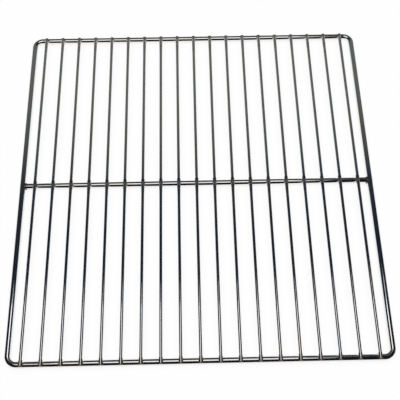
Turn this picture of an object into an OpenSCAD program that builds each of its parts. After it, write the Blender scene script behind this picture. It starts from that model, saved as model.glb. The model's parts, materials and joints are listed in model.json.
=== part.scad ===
// Fryer basket support rack: a rod frame with a cross rod, decked with thin wires.
// X is the width, Y the depth and Z up. The origin is at the middle of the rack,
// on the plane that its underside rests on.

/* [Overall size] */
// Width over the frame, outside to outside
frame_w = 342.9; // [200:0.1:500]
// Depth over the frame, outside to outside
frame_d = 355.6; // [200:0.1:500]

/* [Frame and cross rod] */
// Diameter of the rod that the frame and the cross rod are made from
rod_d = 6.35; // [4:0.01:8]
// Radius of the four corner bends, on the centreline of the rod
bend_r = 8; // [5:0.5:30]
// How far each end of the cross rod sinks into the side rod at its butt weld
butt_sink = 0.6; // [0.2:0.1:1]

/* [Deck wires] */
// Number of deck wires
wire_count = 19; // [5:1:30]
// Diameter of a deck wire
wire_d = 3.43; // [2:0.01:4]
// Clear gap between a side rod and the deck wire next to it, seen from above
side_gap = 7.6; // [4:0.05:30]
// How far a deck wire sinks into a rod at its spot weld
weld_sink = 0.3; // [0.1:0.05:0.6]
// How far the front ends of the deck wires stop short of the frame's outer edge
front_inset = 0.4; // [0:0.1:4]
// How far the rear ends of the deck wires stop short of the frame's outer edge
rear_inset = 2.8; // [0:0.1:4]

/* [Hidden] */
$fn = 64;

// Half width and half depth of the frame, on the centreline of its rod
half_w = (frame_w - rod_d) / 2;
half_d = (frame_d - rod_d) / 2;

// Half lengths of the straight stretches between the bends
straight_x = half_w - bend_r;
straight_y = half_d - bend_r;

// Heights of the centrelines above the resting plane
rod_z = rod_d / 2;
wire_z = rod_d + wire_d / 2 - weld_sink;

// The cross rod reaches this far from the middle to each side
cross_reach = half_w - rod_d / 2 + butt_sink;

// The outermost wires stand this far from the middle, and the others fill the space evenly
wire_span = half_w - rod_d / 2 - side_gap - wire_d / 2;
wire_pitch = 2 * wire_span / (wire_count - 1);

plating = [0.76, 0.76, 0.78];

// Name of deck wire number i, counted from 1 at the left
function wire_name(i) = str("wire_", i < 10 ? "0" : "", i);

// Place across the rack of deck wire number i
function wire_x(i) = (i - 1) * wire_pitch - wire_span;

// Distance from the middle to the front or rear rod's centreline, at x across the rack
function rod_y(x) =
    let (past = max(0, abs(x) - straight_x))
    straight_y + sqrt(bend_r * bend_r - past * past);

// A straight rod along X, centred on the origin
module bar_x(d, length) {
    rotate([0, 90, 0])
        cylinder(d = d, h = length, center = true);
}

// A straight rod along Y, centred on the origin
module bar_y(d, length) {
    rotate([90, 0, 0])
        cylinder(d = d, h = length, center = true);
}

// The closed loop of the frame: four straight stretches and four quarter bends
module frame_loop() {
    translate([0, 0, rod_z]) {
        for (side = [-1, 1]) {
            translate([side * half_w, 0, 0])
                bar_y(rod_d, 2 * straight_y);
            translate([0, side * half_d, 0])
                bar_x(rod_d, 2 * straight_x);
        }
        for (quarter = [0 : 3]) {
            turn = 90 * quarter;
            across = quarter == 0 || quarter == 3 ? straight_x : -straight_x;
            along = quarter < 2 ? straight_y : -straight_y;
            translate([across, along, 0])
                rotate([0, 0, turn])
                    rotate_extrude(angle = 90)
                        translate([bend_r, 0])
                            circle(d = rod_d);
        }
    }
}

// The cross rod before its ends are shaped to the side rods
module cross_bar() {
    translate([0, 0, rod_z])
        bar_x(rod_d, 2 * cross_reach);
}

module perimeter_frame() {
    color(plating)
        frame_loop();
}

module cross_rod() {
    color(plating)
        difference() {
            cross_bar();
            frame_loop();
        }
}

// One deck wire, hollowed where it sits on the frame and on the cross rod
module deck_wire(i) {
    x = wire_x(i);
    edge = rod_y(x) + rod_d / 2;
    length = 2 * edge - front_inset - rear_inset;
    color(plating)
        difference() {
            translate([x, (front_inset - rear_inset) / 2, wire_z])
                bar_y(wire_d, length);
            frame_loop();
            cross_bar();
        }
}

perimeter_frame();
cross_rod();
for (i = [1 : wire_count])
    deck_wire(i);
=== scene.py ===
import json
from math import cos, pi, radians

import bmesh
import bpy
from mathutils import Euler, Matrix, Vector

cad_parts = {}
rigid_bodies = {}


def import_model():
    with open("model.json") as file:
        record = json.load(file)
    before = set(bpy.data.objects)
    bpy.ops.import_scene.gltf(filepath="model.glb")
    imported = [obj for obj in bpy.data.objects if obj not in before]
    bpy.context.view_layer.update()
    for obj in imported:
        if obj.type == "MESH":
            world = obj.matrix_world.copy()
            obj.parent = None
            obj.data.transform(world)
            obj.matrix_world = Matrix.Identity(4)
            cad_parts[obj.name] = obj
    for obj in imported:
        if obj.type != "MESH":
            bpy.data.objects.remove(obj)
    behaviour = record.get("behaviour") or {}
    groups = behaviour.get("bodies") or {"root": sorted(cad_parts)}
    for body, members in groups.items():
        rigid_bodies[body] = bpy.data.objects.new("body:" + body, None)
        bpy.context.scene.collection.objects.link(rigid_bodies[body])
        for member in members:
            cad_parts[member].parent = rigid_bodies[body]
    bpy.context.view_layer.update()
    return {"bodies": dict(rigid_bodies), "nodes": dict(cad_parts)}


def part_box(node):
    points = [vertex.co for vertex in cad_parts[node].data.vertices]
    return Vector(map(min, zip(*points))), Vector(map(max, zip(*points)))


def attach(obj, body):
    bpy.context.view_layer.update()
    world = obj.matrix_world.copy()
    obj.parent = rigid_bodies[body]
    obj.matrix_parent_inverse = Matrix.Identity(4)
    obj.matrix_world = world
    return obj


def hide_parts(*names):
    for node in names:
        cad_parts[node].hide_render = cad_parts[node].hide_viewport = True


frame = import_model()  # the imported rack: frame, cross rod and deck wires
scene = bpy.context.scene
body = next(iter(frame["bodies"]))  # nothing moves, so there is one
mm = 0.001
wireNodes = sorted(name for name in frame["nodes"] if name.startswith("wire_"))
print("frame loaded,", len(frame["nodes"]), "nodes")

# Sizes that every piece shares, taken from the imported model
frameLow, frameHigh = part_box("perimeter_frame")
rodRadius = (frameHigh.z - frameLow.z) / 2
rodHeight = frameLow.z + rodRadius
halfWidth = frameHigh.x - rodRadius  # to the centreline of a side rod
halfDepth = frameHigh.y - rodRadius
wireLow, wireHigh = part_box(wireNodes[0])
wireRadius = (wireHigh.x - wireLow.x) / 2
wireHeight = wireHigh.z - wireRadius
wirePlaces = [sum(corner.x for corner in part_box(name)) / 2 for name in wireNodes]
wirePitch = (wirePlaces[-1] - wirePlaces[0]) / (len(wirePlaces) - 1)
weldLines = [-halfDepth, 0.0, halfDepth]  # where the wires cross the rods


# Small helpers for the node trees
def plug(tree, socket, value):
    if isinstance(value, bpy.types.NodeSocket):
        tree.links.new(value, socket)
    else:
        socket.default_value = value


def addNode(tree, kind, settings=None, **inputs):
    node = tree.nodes.new(kind)
    for key, value in (settings or {}).items():
        setattr(node, key, value)
    for key, value in inputs.items():
        plug(tree, node.inputs[key.replace("_", " ")], value)
    return node


def sums(tree, operation, first, second=0.0):
    node = addNode(tree, "ShaderNodeMath", {"operation": operation})
    plug(tree, node.inputs[0], first)
    plug(tree, node.inputs[1], second)
    return node.outputs[0]


def rescale(tree, value, low, high, newLow=0.0, newHigh=1.0):
    node = addNode(tree, "ShaderNodeMapRange", {"interpolation_type": "SMOOTHSTEP"})
    for socket, number in zip(node.inputs, (value, low, high, newLow, newHigh)):
        plug(tree, socket, number)
    return node.outputs[0]


def blendColours(tree, share, first, second):
    node = addNode(tree, "ShaderNodeMix", {"data_type": "RGBA"})
    plug(tree, node.inputs[0], share)
    plug(tree, node.inputs[6], first)  # the two colour sockets of this node
    plug(tree, node.inputs[7], second)
    return node.outputs[2]


def speckle(tree, place, scale, detail, roughness=0.5):
    node = addNode(tree, "ShaderNodeTexNoise", Vector=place, Scale=scale, Detail=detail,
                   Roughness=roughness)
    return node.outputs["Fac"]


def colour(values):
    return (*values, 1.0)


# Bright nickel-chrome plate over drawn rod. The drawing lines run along every rod, round the
# bends too: a rod that lies flat keeps one height along each line, so the pattern is fine in Z.
plating = dict(
    metal=(0.89, 0.89, 0.88),
    metalShare=0.5,  # of the plain metal, over its blotches
    coolBlotch=(0.83, 0.88, 0.93),
    warmBlotch=(0.92, 0.87, 0.82),
    blotches=dict(scale=38.0, detail=2.0),  # a few wires wide
    blotchTone=(0.36, 0.64),  # where in the pattern cool turns to warm
    blotchPolish=(0.3, 0.7),  # and where smooth turns to rough
    roughness=(0.035, 0.075),
    lines=dict(scale=1.0, detail=4.0, roughness=0.6),
    lineStretch=(9.0, 9.0, 2600.0),
    lineRoughness=0.02,
    lineDepth=0.5,
    weldLineDepth=0.1,  # weld metal was never drawn
    pits=dict(scale=1500.0, detail=3.0, roughness=0.55),
    pitDepth=0.25,
    bumpDistance=0.0008 * mm,
    heatTint=(0.72, 0.64, 0.52),  # straw tint that the welds leave
    heatShare=0.6,
    heatRoughness=0.04,
    heatReach=3.8 * mm,  # from the middle of a spot weld
    buttHeat=(8.36 * mm, rodRadius),  # from the middle of a butt weld: where it starts, and is full
    crossingsFrom=(rodRadius, 1.5 * rodRadius),  # from a side rod's centreline: wires cross past it
    shadeAndWeldDark=(0.04, 0.04, 0.05),  # painted shade on the wires' sheared ends and low sides, and the welds' own dark metal
    shadeAndWeldPale=(0.14, 0.13, 0.12),
    shadeAndWeldMottle=(0.38, 0.62),  # where in the pits dark turns to pale
    shadeAndWeldRoughness=0.35,
    endShadeReach=(0.40 * mm, 0.12 * mm),  # from the cut face: where it starts, and is full
    sideShadeReach=(3.5 * mm, 2.5 * mm),  # painted shade low on the wires where they cross the rods, along them
    sideShadeRise=(0.92 * wireRadius, 0.62 * wireRadius),  # and up their sides
    sideShadeShare=0.9,
    weldHeat=dict(scale=400.0, detail=2.0, levels=(0.2, 0.8, 0.5, 1.0)),  # pattern, then shares
    weldCut=dict(scale=700.0, detail=2.0, levels=(0.3, 0.7, 0.70, 0.95)),
)


def platedMetal(name, heatMask, shadeAndWeldMask=None, lineDepth=plating["lineDepth"]):
    material = bpy.data.materials.new(name)
    material.use_nodes = True
    tree = material.node_tree
    shader = tree.nodes["Principled BSDF"]
    place = addNode(tree, "ShaderNodeTexCoord").outputs["Object"]
    stretched = addNode(tree, "ShaderNodeMapping", Vector=place, Scale=plating["lineStretch"])
    lines = speckle(tree, stretched.outputs[0], **plating["lines"])
    pits = speckle(tree, place, **plating["pits"])
    blotches = speckle(tree, place, **plating["blotches"])

    # the plate's thickness drifts from cool to warm, and the welds leave a straw tint
    tone = rescale(tree, blotches, *plating["blotchTone"])
    base = blendColours(tree, tone, colour(plating["coolBlotch"]), colour(plating["warmBlotch"]))
    base = blendColours(tree, plating["metalShare"], base, colour(plating["metal"]))
    heat = sums(tree, "MULTIPLY", heatMask(tree, place), plating["heatShare"])
    base = blendColours(tree, heat, base, colour(plating["heatTint"]))
    rough = rescale(tree, blotches, *plating["blotchPolish"], *plating["roughness"])
    rough = sums(tree, "ADD", rough, sums(tree, "MULTIPLY", lines, plating["lineRoughness"]))
    rough = sums(tree, "ADD", rough, sums(tree, "MULTIPLY", heat, plating["heatRoughness"]))

    if shadeAndWeldMask:  # near-black: painted shade on the wires' cut ends and low sides, and the welds' own dark metal
        cut = shadeAndWeldMask(tree, place)
        mottle = rescale(tree, pits, *plating["shadeAndWeldMottle"])
        shadeAndWeldTone = blendColours(tree, mottle, colour(plating["shadeAndWeldDark"]), colour(plating["shadeAndWeldPale"]))
        base = blendColours(tree, cut, base, shadeAndWeldTone)
        rough = sums(tree, "ADD", rough, sums(tree, "MULTIPLY", cut, plating["shadeAndWeldRoughness"]))

    drawn = addNode(tree, "ShaderNodeBump", Strength=lineDepth,
                    Distance=plating["bumpDistance"], Height=lines)
    pitted = addNode(tree, "ShaderNodeBump", Strength=plating["pitDepth"],
                     Distance=plating["bumpDistance"], Height=pits, Normal=drawn.outputs[0])
    plug(tree, shader.inputs["Base Color"], base)
    plug(tree, shader.inputs["Roughness"], rough)
    plug(tree, shader.inputs["Normal"], pitted.outputs[0])
    shader.inputs["Metallic"].default_value = 1.0
    return material


def gapToLines(tree, along, places):
    # distance to the nearest of a few lines across one axis
    nearest = None
    for place in places:
        gap = sums(tree, "ABSOLUTE", sums(tree, "SUBTRACT", along, place))
        nearest = gap if nearest is None else sums(tree, "MINIMUM", nearest, gap)
    return nearest


def patches(tree, place, scale, detail, levels):
    return rescale(tree, speckle(tree, place, scale, detail), *levels)


def heatOnWires(tree, place):
    axes = addNode(tree, "ShaderNodeSeparateXYZ", Vector=place).outputs
    return rescale(tree, gapToLines(tree, axes["Y"], weldLines), plating["heatReach"], 0.0)


def paintedShadeOnWires(tree, place):
    # painted shade on the sheared ends, and painted shade low on both sides of a wire where it
    # crosses a rod
    axes = addNode(tree, "ShaderNodeSeparateXYZ", Vector=place).outputs
    starts, full = plating["endShadeReach"]
    front = rescale(tree, axes["Y"], wireLow.y + starts, wireLow.y + full)
    rear = rescale(tree, axes["Y"], wireHigh.y - starts, wireHigh.y - full)
    near = rescale(tree, gapToLines(tree, axes["Y"], weldLines), *plating["sideShadeReach"])
    rise = sums(tree, "SUBTRACT", axes["Z"], wireHeight)
    # scale is the painted shade low on the wire's sides over a rod
    scale = sums(tree, "MULTIPLY", near, rescale(tree, rise, *plating["sideShadeRise"]))
    return sums(tree, "MAXIMUM", sums(tree, "MAXIMUM", front, rear),
                sums(tree, "MULTIPLY", scale, plating["sideShadeShare"]))


def heatOnRods(tree, place):
    # a weld every wire pitch on top of the rods, and the two butts of the cross rod
    axes = addNode(tree, "ShaderNodeSeparateXYZ", Vector=place).outputs
    fromMiddle = sums(tree, "ABSOLUTE", axes["X"])
    fromSide = sums(tree, "SUBTRACT", halfWidth, fromMiddle)
    spots = rescale(tree, sums(tree, "PINGPONG", fromMiddle, wirePitch / 2),
                    plating["heatReach"], 0.0)
    top = rescale(tree, axes["Z"], rodHeight, rodHeight + rodRadius)
    inside = rescale(tree, fromSide, *plating["crossingsFrom"])
    spots = sums(tree, "MULTIPLY", sums(tree, "MULTIPLY", spots, top), inside)
    fromButt = sums(tree, "ADD", sums(tree, "ABSOLUTE", fromSide),
                    sums(tree, "ABSOLUTE", axes["Y"]))
    return sums(tree, "MAXIMUM", spots, rescale(tree, fromButt, *plating["buttHeat"]))


def heatOnWelds(tree, place):
    return patches(tree, place, **plating["weldHeat"])


def cutOnWelds(tree, place):
    return patches(tree, place, **plating["weldCut"])


rodPlate = platedMetal("plated_rod", heatOnRods)
wirePlate = platedMetal("plated_wire", heatOnWires, paintedShadeOnWires)
weldPlate = platedMetal("plated_weld", heatOnWelds, cutOnWelds, plating["weldLineDepth"])
print("materials made")

# Steps that the shapes share. A rod starts as a ring of edges and is pulled or turned along.
mergeGap = 0.001 * mm  # points nearer than this become one


def startRing(bm, middle, axis, radius, segments, capped=True):
    stand = Matrix.Translation(middle) @ Matrix.Rotation(pi / 2, 4, axis)
    bmesh.ops.create_circle(bm, cap_ends=capped, segments=segments, radius=radius, matrix=stand)
    return list(bm.edges)


def pullRing(bm, ring, shift):
    made = bmesh.ops.extrude_edge_only(bm, edges=ring)["geom"]
    points = {part for part in made if isinstance(part, bmesh.types.BMVert)}
    bmesh.ops.translate(bm, vec=shift, verts=list(points))
    return [part for part in made
            if isinstance(part, bmesh.types.BMEdge) and points.issuperset(part.verts)]


def turnRing(bm, ring, centre, angle, steps):
    made = bmesh.ops.spin(bm, geom=ring, cent=centre, axis=(0, 0, 1), angle=angle, steps=steps)
    return [part for part in made["geom_last"] if isinstance(part, bmesh.types.BMEdge)]


def ringPoints(ring):
    return list({point for edge in ring for point in edge.verts})


def meshObject(bm, name, material):
    mesh = bpy.data.meshes.new(name)
    bm.to_mesh(mesh)
    bm.free()
    mesh.materials.append(material)
    made = bpy.data.objects.new(name, mesh)
    scene.collection.objects.link(made)
    return made


def finishPiece(bm, name, material, nodes=()):
    bmesh.ops.remove_doubles(bm, verts=bm.verts, dist=mergeGap)
    bmesh.ops.recalc_face_normals(bm, faces=bm.faces)
    for face in bm.faces:
        face.smooth = len(face.verts) <= 4
        if not face.smooth:  # a cut end stays crisp
            for edge in face.edges:
                edge.smooth = False
    piece = meshObject(bm, name, material)
    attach(piece, body)
    if nodes:
        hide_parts(*nodes)


# The frame: one rod bent at four corners into a closed loop
frameRod = dict(bendRadius=8.0 * mm, segments=48, bendSteps=18)


def makeFrame():
    bend = frameRod["bendRadius"]
    straightX, straightY = halfWidth - bend, halfDepth - bend
    bm = bmesh.new()
    ring = startRing(bm, (-straightX, -halfDepth, rodHeight), "Y", rodRadius,
                     frameRod["segments"], capped=False)
    sides = [((2 * straightX, 0, 0), (straightX, -straightY)),
             ((0, 2 * straightY, 0), (straightX, straightY)),
             ((-2 * straightX, 0, 0), (-straightX, straightY)),
             ((0, -2 * straightY, 0), (-straightX, -straightY))]
    for run, corner in sides:
        ring = pullRing(bm, ring, run)
        ring = turnRing(bm, ring, (*corner, rodHeight), pi / 2, frameRod["bendSteps"])
    finishPiece(bm, "frame_rod", rodPlate, ["perimeter_frame"])


# The cross rod, with a collar of weld where each end butts on a side rod. The collar only
# spreads sideways: under the rod it would lift the rack off its ledge.
crossRod = dict(
    segments=48,
    endInset=0.8 * rodRadius,  # from the side rod's centreline, inside that rod
    collarStart=0.01 * mm,  # the collar comes out of the rod from this far under its surface
    collar=[(1.3 * mm, 0.0), (0.8 * mm, 0.05 * mm), (0.4 * mm, 0.18 * mm), (0.1 * mm, 0.4 * mm),
            (-1.2 * mm, 0.8 * mm)],  # distance from the side rod's face, and spread
)


def makeCrossRod():
    bm = bmesh.new()
    reach = halfWidth - crossRod["endInset"]
    ring = startRing(bm, (-reach, 0, rodHeight), "Y", rodRadius, crossRod["segments"])
    ring = pullRing(bm, ring, (2 * reach, 0, 0))
    bmesh.ops.edgeloop_fill(bm, edges=ring)
    finishPiece(bm, "cross_rod_bar", rodPlate, ["cross_rod"])


def makeCollar(name, side):
    bm = bmesh.new()
    face = halfWidth - rodRadius
    at, spread = face - crossRod["collar"][0][0], rodRadius
    ring = startRing(bm, (at, 0, rodHeight), "Y", rodRadius - crossRod["collarStart"],
                     crossRod["segments"])
    for gap, extra in crossRod["collar"][1:]:
        ring = pullRing(bm, ring, (face - gap - at, 0, 0))
        wider = (rodRadius + extra) / spread
        bmesh.ops.scale(bm, vec=(1, wider, 1), verts=ringPoints(ring))
        at, spread = face - gap, rodRadius + extra
    bmesh.ops.edgeloop_fill(bm, edges=ring)
    bmesh.ops.scale(bm, vec=(side, 1, 1), verts=bm.verts)
    finishPiece(bm, name, weldPlate)


# A deck wire: straight, its cut ends rounded over, and pressed a little flat where the
# welding electrodes held it down on the rods
deckWire = dict(
    segments=32,
    endRound=0.55 * mm,
    endSteps=5,
    pressLength=3.2 * mm,  # from full round to the middle of a weld
    pressSteps=4,
    pressWeld=0.98,  # height left at a weld
    pressTip=0.93,  # and at the cut ends
    pressSpread=1 / 3,  # share of the lost height that goes into the width
    runStart=3.84 * mm,  # from a weld, where the straight run to the next one starts
)


def pressedStations(low, high):
    # places along the wire, each with the height that the electrodes left it
    reach, steps = deckWire["pressLength"], deckWire["pressSteps"]
    lost = 1 - deckWire["pressWeld"]
    outward = [(reach * step / steps, 1 - lost * (1 + cos(pi * step / steps)) / 2)
               for step in range(steps + 1)] + [(deckWire["runStart"], 1.0)]
    front = [(low, deckWire["pressTip"])] + [(gap - halfDepth, size) for gap, size in outward]
    middle = [(-gap, size) for gap, size in reversed(outward)] + outward[1:]
    rear = [(halfDepth - gap, size) for gap, size in reversed(outward)]
    return front + middle + rear + [(high, deckWire["pressTip"])]


def makeWire(node):
    low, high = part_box(node)
    across = (low.x + high.x) / 2
    stations = pressedStations(low.y, high.y)
    bm = bmesh.new()
    firstRing = ring = startRing(bm, (across, low.y, wireHeight), "X", wireRadius,
                                 deckWire["segments"])
    rings = [ring]
    for (before, _), (here, _) in zip(stations, stations[1:]):
        ring = pullRing(bm, ring, (0, here - before, 0))
        rings.append(ring)
    bmesh.ops.edgeloop_fill(bm, edges=ring)
    under = Matrix.Translation((-across, 0, wireRadius - wireHeight))
    for edges, (_, height) in zip(rings, stations):
        wider = 1 + (1 - height) * deckWire["pressSpread"]
        bmesh.ops.scale(bm, vec=(wider, 1, height), space=under, verts=ringPoints(edges))
    bmesh.ops.bevel(bm, geom=firstRing + ring, offset=deckWire["endRound"],
                    segments=deckWire["endSteps"], affect="EDGES", profile=0.5, material=-1)
    finishPiece(bm, "deck_" + node, wirePlate, [node])


# Weld metal squeezed out between a wire and the rod under it
weldBead = dict(reach=(2.0 * mm, 1.4 * mm, 0.6 * mm), rise=0.02 * mm, around=12, rings=8)


def makeWelds(name, along):
    bm = bmesh.new()
    for across in wirePlaces:
        seat = Matrix.Translation((across, along, rodHeight + rodRadius + weldBead["rise"]))
        bmesh.ops.create_uvsphere(bm, u_segments=weldBead["around"],
                                  v_segments=weldBead["rings"], radius=1.0,
                                  matrix=seat @ Matrix.Diagonal((*weldBead["reach"], 1)))
    finishPiece(bm, name, weldPlate)


makeFrame()
makeCrossRod()
for name, side in (("butt_weld_left", -1), ("butt_weld_right", 1)):
    makeCollar(name, side)
print("frame and cross rod made")
for node in wireNodes:
    makeWire(node)
for name, along in zip(("welds_front", "welds_middle", "welds_rear"), weldLines):
    makeWelds(name, along)
print("deck wires and welds made,", len(wireNodes), "wires")

# The studio: a white floor and low white surround, a dark room above it with a dim far wall,
# and black boards that give the bright rods dark edges
studio = dict(
    floorSize=30.0,
    floorWhite=(0.95, 0.95, 0.95),
    floorGlow=0.87,  # share of plain white that cameras and mirrors see
    surroundTop=(0.24, 0.30),  # sine of the heights where the white fades out
    room=[(-1.0, (0.008, 0.007, 0.012)), (0.25, (0.011, 0.012, 0.018)),
          (0.40, (0.013, 0.018, 0.028)), (0.46, (0.022, 0.029, 0.041)),
          (0.50, (0.073, 0.077, 0.075)), (0.56, (0.117, 0.121, 0.113)),
          (0.64, (0.124, 0.128, 0.117)),
          (0.74, (0.012, 0.012, 0.014)), (1.0, (0.012, 0.012, 0.014))],  # near side to far side
    boardBlack=(0.004, 0.004, 0.006),
    boardsAway=2.0,
    boardsTall=0.62,
)


def mattPaint(name, tint):
    material = bpy.data.materials.new(name)
    material.use_nodes = True
    paint = material.node_tree.nodes["Principled BSDF"]
    paint.inputs["Base Color"].default_value = colour(tint)
    paint.inputs["Roughness"].default_value = 1.0
    paint.inputs["Specular IOR Level"].default_value = 0.0
    return material


def makeFloor():
    bm = bmesh.new()
    bmesh.ops.create_grid(bm, x_segments=1, y_segments=1, size=studio["floorSize"])
    material = mattPaint("white_paper", studio["floorWhite"])
    tree = material.node_tree
    glow = addNode(tree, "ShaderNodeEmission", Color=(1, 1, 1, 1), Strength=1.0)
    rays = addNode(tree, "ShaderNodeLightPath").outputs
    seen = sums(tree, "MAXIMUM", rays["Is Camera Ray"], rays["Is Glossy Ray"])
    seen = sums(tree, "MAXIMUM", seen, rays["Is Transmission Ray"])
    mixed = tree.nodes.new("ShaderNodeMixShader")
    plug(tree, mixed.inputs[0], sums(tree, "MULTIPLY", seen, studio["floorGlow"]))
    plug(tree, mixed.inputs[1], tree.nodes["Principled BSDF"].outputs[0])
    plug(tree, mixed.inputs[2], glow.outputs[0])
    plug(tree, tree.nodes["Material Output"].inputs["Surface"], mixed.outputs[0])
    meshObject(bm, "studio_floor", material)


def colourRamp(tree, value, stops):
    low, high = stops[0][0], stops[-1][0]
    spread = addNode(tree, "ShaderNodeMapRange")
    for socket, number in zip(spread.inputs, (value, low, high)):
        plug(tree, socket, number)
    ramp = tree.nodes.new("ShaderNodeValToRGB")
    plug(tree, ramp.inputs[0], spread.outputs[0])
    elements = ramp.color_ramp.elements
    elements.remove(elements[-1])
    for index, (place, tint) in enumerate(stops):
        share = (place - low) / (high - low)
        element = elements.new(share) if index else elements[0]
        element.position = share
        element.color = colour(tint)
    return ramp.outputs[0]


def makeRoom():
    scene.world = bpy.data.worlds.new("studio_room")
    scene.world.use_nodes = True
    tree = scene.world.node_tree
    direction = addNode(tree, "ShaderNodeTexCoord").outputs["Generated"]
    axes = addNode(tree, "ShaderNodeSeparateXYZ", Vector=direction).outputs
    walls = colourRamp(tree, axes["Y"], studio["room"])
    low, high = studio["surroundTop"]
    surround = rescale(tree, axes["Z"], high, low)
    mixed = blendColours(tree, surround, walls, (1, 1, 1, 1))
    plug(tree, tree.nodes["Background"].inputs["Color"], mixed)


def makeDarkBoards():
    # black boards on all four sides, which only show in the metal
    away = studio["boardsAway"]
    bm = bmesh.new()
    corners = [bm.verts.new((side * away, end * away, 0))
               for side, end in ((-1, -1), (1, -1), (1, 1), (-1, 1))]
    foot = [bm.edges.new(pair) for pair in zip(corners, corners[1:] + corners[:1])]
    pullRing(bm, foot, (0, 0, studio["boardsTall"]))
    boards = meshObject(bm, "studio_dark_boards", mattPaint("black_board", studio["boardBlack"]))
    boards.visible_camera = False
    boards.visible_diffuse = False
    boards.visible_shadow = False


# Overhead hang a soft box in a near and a far part, each with a dimmer strip at one edge, and
# a lamp that only lifts the floor
lamps = {
    "soft_box": dict(x=(-0.62, 0.39), y=(-0.52, 0.10), height=1.7, strength=0.92,
                     tint=(1.0, 0.955, 0.90)),
    "right_edge": dict(x=(0.39, 0.44), y=(-0.52, 0.10), height=1.7, strength=0.4,
                       tint=(1.0, 0.955, 0.90)),
    "far_box": dict(x=(-0.44, 0.34), y=(0.10, 0.46), height=1.7, strength=1.25,
                    tint=(0.99, 0.98, 0.99)),
    "far_edge": dict(x=(-0.10, 0.55), y=(0.46, 0.53), height=1.7, strength=0.55,
                     tint=(0.99, 0.98, 0.99)),
    "floor_lamp": dict(x=(-1.2, 1.2), y=(-1.2, 1.2), height=1.6, strength=2.0,
                       tint=(1.0, 1.0, 1.0), mirrored=False),
}


def makeLamp(name, x, y, height, strength, tint, mirrored=True):
    width, depth = x[1] - x[0], y[1] - y[0]
    lamp = bpy.data.lights.new(name, "AREA")
    lamp.shape = "RECTANGLE"
    lamp.size, lamp.size_y = width, depth
    lamp.color = tint
    lamp.energy = strength * pi * width * depth  # strength is the brightness of its face
    light = bpy.data.objects.new(name, lamp)
    light.location = (sum(x) / 2, sum(y) / 2, height)
    light.visible_glossy = mirrored
    scene.collection.objects.link(light)


makeFloor()
makeRoom()
makeDarkBoards()
for name, lamp in lamps.items():
    makeLamp(name, **lamp)
print("studio made")

# The camera stands where the photograph was taken from
camera = dict(
    lens=69.246,
    sensorWidth=36.0,
    nearClip=0.01,
    location=(-0.00605, -0.34902, 0.66369),
    turn=(26.6209, -0.1163, -1.2972),
)


def makeCamera():
    lens = bpy.data.cameras.new("camera")
    lens.sensor_width = camera["sensorWidth"]
    lens.lens = camera["lens"]
    lens.clip_start = camera["nearClip"]
    stand = bpy.data.objects.new("camera", lens)
    stand.location = camera["location"]
    stand.rotation_euler = Euler([radians(angle) for angle in camera["turn"]])
    scene.collection.objects.link(stand)
    scene.camera = stand


makeCamera()
scene.view_settings.view_transform = "Standard"
print("camera set")
